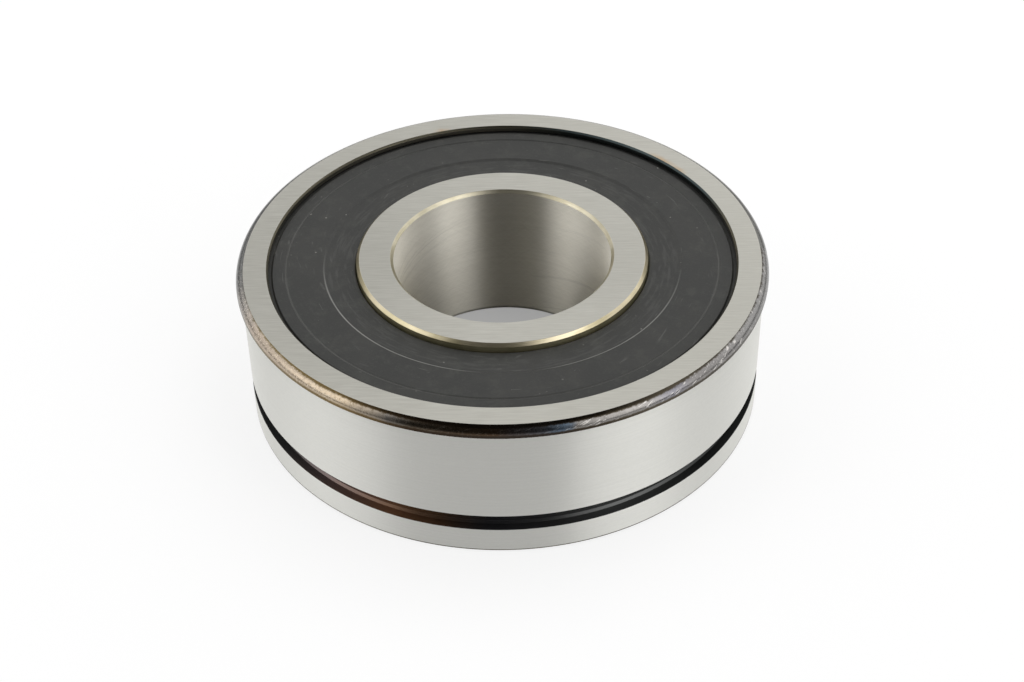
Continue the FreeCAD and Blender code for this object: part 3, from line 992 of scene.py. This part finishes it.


# Turned walls, tempered edges and the bore; a pair of colours is the dark and the light one

# The mouth edge's dark steel also paints the contact shadow along the outer ring's lower edge.
MOUTH_EDGE_STEEL = ((0.06, 0.056, 0.04), (0.11, 0.10, 0.07))
MOUTH_WALL_STEEL = ((0.20, 0.19, 0.15), (0.33, 0.31, 0.26))
MOUTH_BLUE = (0.05, 0.066, 0.07)
MOUTH_BLUE_PLACES = [(0.03, 0.0), (0.07, 0.9), (0.20, 0.9), (0.24, 0.0)]
MOUTH_FLECK = (0.75, 0.66, 0.45)
MOUTH_LAY_RADIUS = 27.0
MOUTH_BUMP = 0.004
BORE_EDGE_STRAW = ((0.46, 0.42, 0.30), (0.66, 0.61, 0.47))
CHAMFER_STRAW = ((0.46, 0.405, 0.255), (0.66, 0.585, 0.41))
LAND_TEMPER = ((0.44, 0.40, 0.24), (0.60, 0.55, 0.36))
STRAW_SPREAD = (0.38, 0.62)
STRAW_LAY_RADIUS = 16.0
STRAW_BUMP = 0.003
BORE_STEEL = ((0.83, 0.80, 0.715), (0.90, 0.87, 0.785))
BORE_HONED = (0.52, 0.50, 0.45)
BORE_HONE_SLANT = 0.10
BORE_HONE_SPREAD = (0.60, 0.68)
BORE_CROSSED_SHARE = 0.3
BORE_LEVEL_SHARE = 0.4
BORE_FOOT = (0.16, 0.15, 0.11)
BORE_FOOT_STRENGTH = 0.7
BORE_ROUGHNESS = (0.45, 0.51)
BORE_SATIN = 1.0
BORE_BUMP = 0.001


def mouth_material(name, steel, roughness):
    """Turned wall inside the outer ring's mouth, with level turning lines and one blued stretch."""
    f = Finish(name)
    lines = f.streaks(f.height, around_marks=0.08, across_marks=7.0, lay_radius=MOUTH_LAY_RADIUS)
    colour = f.blend(f.span(lines, *NARROW_SPREAD), *steel)
    colour = f.tint(colour, MOUTH_BLUE, f.ramp(f.around(), MOUTH_BLUE_PLACES))
    fleck = f.specks(spacing=1.4, size=0.42, share=0.16, seed=8.0)
    colour = f.tint(colour, MOUTH_FLECK, fleck, strength=0.7)
    f.metal(colour, roughness)
    f.bump(lines, MOUTH_BUMP)
    return f.material


def straw_material(name, straw, roughness):
    """Chamfer or land in temper colour, lighter where it is rubbed."""
    f = Finish(name)
    drift = f.noise(f.point, scale=0.3)
    lines = f.streaks(f.height, around_marks=0.1, across_marks=8.0, lay_radius=STRAW_LAY_RADIUS)
    colour = f.blend(f.span(f.mixed(drift, lines, share=0.7), *STRAW_SPREAD), *straw)
    f.metal(colour, roughness)
    f.bump(lines, STRAW_BUMP)
    return f.material


def bore_marks(f):
    """Marks that cross at a slant, rising and falling, over long level ones."""
    crossed = {"around_marks": 3.0, "across_marks": 0.5, "lay_radius": BORE_RADIUS}
    rising = f.streaks(f.height, slant=BORE_HONE_SLANT, **crossed)
    falling = f.streaks(f.height, slant=-BORE_HONE_SLANT, seed=9.0, **crossed)
    level = f.streaks(f.height, around_marks=0.05, across_marks=6.0, lay_radius=BORE_RADIUS, seed=4.0)
    return f.plus(f.times(f.plus(rising, falling), BORE_CROSSED_SHARE), f.times(level, BORE_LEVEL_SHARE))


def bore_material():
    """Honed bore: fine marks, a few long honing lines and a dark foot."""
    f = Finish("bore_wall")
    marks = bore_marks(f)
    colour = f.blend(f.span(marks, *NARROW_SPREAD), *BORE_STEEL)
    hone = f.streaks(f.height, around_marks=0.5, across_marks=0.05, slant=0.35, lay_radius=BORE_RADIUS,
                     seed=21.0)
    colour = f.tint(colour, BORE_HONED, f.span(hone, *BORE_HONE_SPREAD), strength=0.22)
    foot = f.span(f.height, BORE_CHAMFER, 2 * BORE_CHAMFER, BORE_FOOT_STRENGTH, 0.0)
    colour = f.tint(colour, BORE_FOOT, foot)
    f.metal(colour, f.span(marks, *EVEN_SPREAD, *BORE_ROUGHNESS))
    f.brushed(BORE_SATIN, ALONG_AXIS)
    f.bump(marks, BORE_BUMP)
    return f.material


# Inner parts

RACEWAY_STEEL = (0.70, 0.69, 0.67)
BALL_STEEL = (0.78, 0.78, 0.77)
POLISH_SHADE = 0.96
POLISH_HAZE = 0.05
CAGE_STEEL = ((0.36, 0.355, 0.34), (0.52, 0.51, 0.49))
RIVET_STEEL = ((0.42, 0.41, 0.39), (0.60, 0.59, 0.57))
PRESSED_ROUGHNESS = (0.36, 0.5)
PRESSED_BUMP = 0.006


def polished_material(name, steel, roughness):
    """Lapped steel with the faintest level lines."""
    f = Finish(name)
    lines = f.streaks(f.height, around_marks=0.1, across_marks=10.0)
    colour = f.blend(f.span(lines, *EVEN_SPREAD), tuple(c * POLISH_SHADE for c in steel), steel)
    haze = f.noise(f.point, scale=0.5)
    f.metal(colour, f.span(haze, *EVEN_SPREAD, roughness, roughness + POLISH_HAZE))
    return f.material


def pressed_material(name, steel):
    """Dull pressed or headed steel, with rubbed high spots."""
    f = Finish(name)
    cloud = f.noise(f.point, scale=0.8, detail=4.0, roughness=0.6)
    f.metal(f.blend(f.span(cloud, *NARROW_SPREAD), *steel), f.span(cloud, *EVEN_SPREAD, *PRESSED_ROUGHNESS))
    f.bump(f.noise(f.point, scale=6.0), PRESSED_BUMP)
    return f.material


# Seals

RUBBER_DARK = (0.0285, 0.029, 0.027)
RUBBER_LIGHT = (0.0365, 0.0365, 0.034)
RUBBER_BLOOM = (0.050, 0.051, 0.045)
RUBBER_SPECKLE = (0.062, 0.062, 0.056)
# The next two colours are painted highlights, on the moulded line and on the step's edge.
RUBBER_LINE_HIGHLIGHT = (0.085, 0.085, 0.078)
RUBBER_STEP_HIGHLIGHT = (0.27, 0.27, 0.255)
RUBBER_DISH = (0.062, 0.062, 0.058)
RUBBER_SCUFF = (0.12, 0.12, 0.112)
RUBBER_DUST = (0.30, 0.29, 0.265)
SMEAR_SPREAD = (0.4, 0.65)
BLOOM_SPREAD = (0.48, 0.68)
SPECKLE_SPREAD = (0.52, 0.75)
# Strength of those painted highlights at shares of a turn from +X.
LINE_HIGHLIGHT_PLACES = [(0.10, 0.6), (0.25, 0.1), (0.45, 0.8), (0.65, 0.9), (0.74, 0.5), (0.90, 0.9)]
STEP_HIGHLIGHT_PLACES = [
    (0.48, 0.0), (0.51, 0.2), (0.54, 0.6), (0.58, 0.95), (0.70, 0.7), (0.735, 0.0), (0.775, 0.0),
    (0.81, 0.6), (0.90, 0.8), (0.95, 0.3), (0.98, 0.0),
]
WIPE_STRENGTH = 0.7
WIPE_SPREAD = (0.62, 0.74)
WIPE_SMEAR_SPREAD = (0.5, 0.62)
ARC_SPREAD = (0.71, 0.76)
NICK_SPREAD = (0.74, 0.78)
DISH_STRENGTH = 0.55
DISH_SPREAD = (0.48, 0.68)
DISH_EDGE = 0.4                 # width over which the dish's scuffs fade out at the step
GRIT_SMEAR_SPREAD = (0.49, 0.56)
SEAL_LAY_RADIUS = 22.0
DISH_LAY_RADIUS = 18.0
RUBBER_ROUGHNESS = (0.50, 0.60)
RUBBER_SPECULAR = 0.45
MOULD_RINGS_SHARE = 0.5
RUBBER_BUMP = 0.010


def rubber_colour(f, smear):
    """Dark rubber, smeared, with a pale bloom and speckle."""
    bloom = f.noise(f.point, scale=0.45, detail=5.0, roughness=0.75)
    speckle = f.noise(f.point, scale=3.5, detail=4.0, roughness=0.8)
    colour = f.blend(f.span(smear, *SMEAR_SPREAD), RUBBER_DARK, RUBBER_LIGHT)
    colour = f.tint(colour, RUBBER_BLOOM, f.span(bloom, *BLOOM_SPREAD), strength=0.55)
    return f.tint(colour, RUBBER_SPECKLE, f.span(speckle, *SPECKLE_SPREAD), strength=0.6)


def painted_highlight_rings(f, colour):
    """Painted highlights along the moulded line and on the step's edge, stronger at some places round the
    ring.
    """
    line = f.edge_stain_and_highlight(SEAL_LINE_RADIUS, width=0.16, break_up=0.5, grain=0.9)
    colour = f.tint(colour, RUBBER_LINE_HIGHLIGHT, f.times(line, f.ramp(f.around(), LINE_HIGHLIGHT_PLACES)))
    step = f.edge_stain_and_highlight(SEAL_STEP_RADIUS + SEAL_STEP_SLOPE / 2, width=0.14, break_up=0.7, grain=0.35)
    return f.tint(colour, RUBBER_STEP_HIGHLIGHT, f.times(step, f.ramp(f.around(), STEP_HIGHLIGHT_PLACES)))


def scuffs(f, smear):
    """Wiped stretches, hair arcs and short nicks; one mask for all."""
    wipe = f.streaks(f.radius, around_marks=0.5, across_marks=0.9, slant=0.12,
                     lay_radius=SEAL_LAY_RADIUS, seed=6.0)
    arcs = f.streaks(f.radius, around_marks=0.22, across_marks=5.5, slant=0.015,
                     lay_radius=SEAL_LAY_RADIUS, seed=17.0)
    nicks = f.streaks(f.radius, around_marks=1.4, across_marks=3.0, slant=0.06,
                      lay_radius=SEAL_LAY_RADIUS, seed=23.0)
    wiped = f.times(f.span(wipe, *WIPE_SPREAD), f.span(smear, *WIPE_SMEAR_SPREAD))
    fine = f.larger(f.span(arcs, *ARC_SPREAD), f.span(nicks, *NICK_SPREAD))
    return f.larger(f.times(wiped, WIPE_STRENGTH), fine)


def dish_scuffs(f):
    """Fine scuffs round the dish, inside the step."""
    marks = f.streaks(f.radius, around_marks=0.35, across_marks=2.6, slant=0.04,
                      lay_radius=DISH_LAY_RADIUS, seed=29.0)
    inside = f.span(f.radius, SEAL_STEP_RADIUS - DISH_EDGE, SEAL_STEP_RADIUS, DISH_STRENGTH, 0.0)
    return f.times(f.span(marks, *DISH_SPREAD), inside)


def dust(f, smear):
    """Single specks, and grit that gathers where the rubber is smeared."""
    grit = f.specks(spacing=0.6, size=0.19, share=0.4, seed=14.0)
    return f.larger(f.specks(spacing=1.5, size=0.2, share=0.3, seed=1.0),
                    f.times(grit, f.span(smear, *GRIT_SMEAR_SPREAD)))


def seal_material():
    """Moulded rubber: fine matte grain, painted highlights on two rings, hair scratches, scuffs and dust."""
    f = Finish("seal_rubber")
    smear = f.noise(f.point, scale=0.16, roughness=0.55, distortion=0.6)
    colour = painted_highlight_rings(f, rubber_colour(f, smear))
    colour = f.tint(colour, RUBBER_DISH, dish_scuffs(f))
    colour = f.tint(colour, RUBBER_SCUFF, scuffs(f, smear), strength=0.6)
    colour = f.tint(colour, RUBBER_DUST, dust(f, smear), strength=0.6)
    f.set(Base_Color=colour, Metallic=0.0, Specular_IOR_Level=RUBBER_SPECULAR,
          Roughness=f.span(smear, *NARROW_SPREAD, *RUBBER_ROUGHNESS))
    rings = f.streaks(f.radius, around_marks=0.06, across_marks=3.5, lay_radius=SEAL_LAY_RADIUS)
    grain = f.noise(f.point, scale=7.0)
    f.bump(f.plus(f.times(rings, MOULD_RINGS_SHARE), grain), RUBBER_BUMP)
    return f.material


# Pieces

OUTER_MATERIALS = {
    "ground_face": ground_face_material("ground_face", OUTER_FACE_MIDDLE, OUTER_FACE_SLANT, MOUTH_RADIUS),
    "ground_seat": ground_seat_material(),
    "groove_scale_and_reflection": groove_scale_material(),
    "rim_scale_and_reflection": rim_scale_material(),
    "mouth_edge": mouth_material("mouth_edge", MOUTH_EDGE_STEEL, roughness=0.4),
    "mouth_wall": mouth_material("mouth_wall", MOUTH_WALL_STEEL, roughness=0.36),
    "raceway": polished_material("raceway", RACEWAY_STEEL, roughness=0.12),
}
INNER_MATERIALS = {
    "bore_edge": straw_material("bore_edge", BORE_EDGE_STRAW, roughness=0.3),
    "inner_face": ground_face_material("inner_face", INNER_FACE_MIDDLE, INNER_FACE_SLANT),
    "straw_chamfer": straw_material("straw_chamfer", CHAMFER_STRAW, roughness=0.28),
    "temper_land": straw_material("temper_land", LAND_TEMPER, roughness=0.45),
    "raceway": OUTER_MATERIALS["raceway"],
    "bore_wall": bore_material(),
}
SEAL_MATERIALS = {"seal_rubber": seal_material()}
RIM_WEAR = {"rim_scale_and_reflection": 1.0, "mouth_edge": 0.5}       # how far the dents go on each stretch


def add_piece(name, sides, edge_round, materials, body, slot, **wear_and_dents):
    piece = turned_piece(name, sides, edge_round, materials, **wear_and_dents)
    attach(piece, body)
    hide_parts(name.replace("_turned", ""))


def add_turned_pieces():
    add_piece("outer_ring_turned", outer_ring_section(), STEEL_EDGE_ROUND, OUTER_MATERIALS, "outer",
              "outer_ring_steel", wear=RIM_WEAR, dents=RIM_DENTS)
    add_piece("inner_ring_turned", inner_ring_section(), STEEL_EDGE_ROUND, INNER_MATERIALS, "inner",
              "inner_ring_steel")
    add_piece("upper_seal_turned", upper_seal_section(), RUBBER_EDGE_ROUND, SEAL_MATERIALS, "outer",
              "seal_rubber")
    add_piece("lower_seal_turned", lower_seal_section(), RUBBER_EDGE_ROUND, SEAL_MATERIALS, "outer",
              "seal_rubber")


def finish_inner_parts():
    """Gives the balls, cage and rivets, which keep their own meshes, their steel."""
    finishes = {
        "ball": polished_material("ball_steel", BALL_STEEL, roughness=0.05),
        "cage": pressed_material("cage_steel", CAGE_STEEL),
        "rivet": pressed_material("rivet_steel", RIVET_STEEL),
    }
    for name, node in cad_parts.items():
        kind = next((k for k in ("rivet", "ball", "cage") if k in name), None)
        if kind is None:
            continue
        node.data.materials.clear()
        node.data.materials.append(finishes[kind])


# Studio

def floor_material():
    """White with the soft shadow, for the camera and in reflections; other rays find plain pale grey."""
    material = bpy.data.materials.new("floor_white")
    material.use_nodes = True
    graph = Graph(material.node_tree)
    graph.tree.nodes.clear()
    seen = graph.node("ShaderNodeLightPath").outputs
    place = graph.node("ShaderNodeVectorMath", operation="LENGTH")
    graph.feed(place.inputs[0], graph.node("ShaderNodeTexCoord").outputs["Object"])
    under = graph.times(seen["Is Camera Ray"], FLOOR_UNDER_LIGHT)
    own = graph.span(place.outputs["Value"], BORE_RADIUS * MM, LAND_RADIUS * MM, under, FLOOR_OWN_LIGHT)
    glow = graph.node("ShaderNodeEmission", {"Color": 1.0, "Strength": own})
    white = graph.node("ShaderNodeBsdfDiffuse", {"Color": FLOOR_WHITE})
    both = graph.node("ShaderNodeAddShader")
    graph.feed(both.inputs[0], glow.outputs["Emission"])
    graph.feed(both.inputs[1], white.outputs["BSDF"])
    bounce = graph.node("ShaderNodeBsdfDiffuse", {"Color": FLOOR_BOUNCE})
    direct = graph.larger(seen["Is Camera Ray"], seen["Is Glossy Ray"])
    direct = graph.larger(direct, seen["Is Transmission Ray"])
    mixed = graph.node("ShaderNodeMixShader", {"Fac": direct})
    graph.feed(mixed.inputs[1], bounce.outputs["BSDF"])
    graph.feed(mixed.inputs[2], both.outputs["Shader"])
    graph.node("ShaderNodeOutputMaterial", {"Surface": mixed.outputs["Shader"]})
    material.cycles.emission_sampling = "NONE"
    return material


# Lightness of the studio's walls by direction, in degrees from +X: dark in front, lamps on both sides
STUDIO_WALLS = [
    (0, 0.42), (22, 0.58), (45, 0.60), (68, 0.44), (82, 0.36), (100, 0.22), (112, 0.40), (126, 0.58),
    (145, 0.50), (158, 0.40), (172, 0.66), (190, 0.86), (206, 0.60), (218, 0.36), (225, 0.03), (295, 0.03),
    (298, 0.50), (316, 0.88), (332, 1.00), (346, 0.58), (360, 0.42),
]


def make_world():
    world = bpy.data.worlds.new("studio")
    bpy.context.scene.world = world
    world.use_nodes = True
    graph = Graph(world.node_tree)
    graph.tree.nodes.clear()
    direction = graph.node("ShaderNodeTexCoord").outputs["Generated"]
    parts = graph.node("ShaderNodeSeparateXYZ", {"Vector": direction}).outputs
    azimuth = graph.math("ARCTAN2", parts["Y"], parts["X"])
    turn = graph.math("FRACT", graph.math("DIVIDE", azimuth, TURN))
    walls = graph.ramp(turn, [(math.radians(degrees) / TURN, tone) for degrees, tone in STUDIO_WALLS])
    walls = graph.blend(1.0, walls, WALL_LIGHT, mode="MULTIPLY")
    foot, top = ([math.sin(math.radians(e)) for e in edge] for edge in (WALL_FOOT, WALL_TOP))
    tone = graph.blend(graph.span(parts["Z"], *foot), GAP_TONE, walls)
    tone = graph.blend(graph.span(parts["Z"], *top), tone, CEILING_TONE)
    camera = graph.node("ShaderNodeLightPath").outputs["Is Camera Ray"]
    shown = graph.blend(camera, tone, 1.0)
    light = graph.node("ShaderNodeBackground", {"Color": shown, "Strength": 1.0})
    graph.node("ShaderNodeOutputWorld", {"Surface": light.outputs["Background"]})


def make_floor():
    mesh = bpy.data.meshes.new("floor")
    work = bmesh.new()
    bmesh.ops.create_circle(work, cap_ends=True, segments=FLOOR_SEGMENTS, radius=FLOOR_RADIUS * MM)
    work.to_mesh(mesh)
    work.free()
    mesh.materials.append(floor_material())
    floor = bpy.data.objects.new("floor", mesh)
    bpy.context.scene.collection.objects.link(floor)


def softbox(name, place, size, energy):
    """Square soft light that faces the bearing."""
    data = bpy.data.lights.new(name, "AREA")
    data.shape = "SQUARE"
    data.size = size * MM
    data.energy = energy
    light = bpy.data.objects.new(name, data)
    light.visible_glossy = False
    bpy.context.scene.collection.objects.link(light)
    place = Vector(place) * MM
    aim = Vector((0, 0, MIDDLE * MM))
    facing = (aim - place).to_track_quat("-Z", "Y").to_matrix().to_4x4()
    light.matrix_world = Matrix.Translation(place) @ facing


make_camera()
bpy.context.scene.view_settings.view_transform = "Standard"
make_world()
make_floor()
softbox("top_box", TOP_BOX_PLACE, TOP_BOX_SIZE, TOP_BOX_POWER)
add_turned_pieces()
finish_inner_parts()
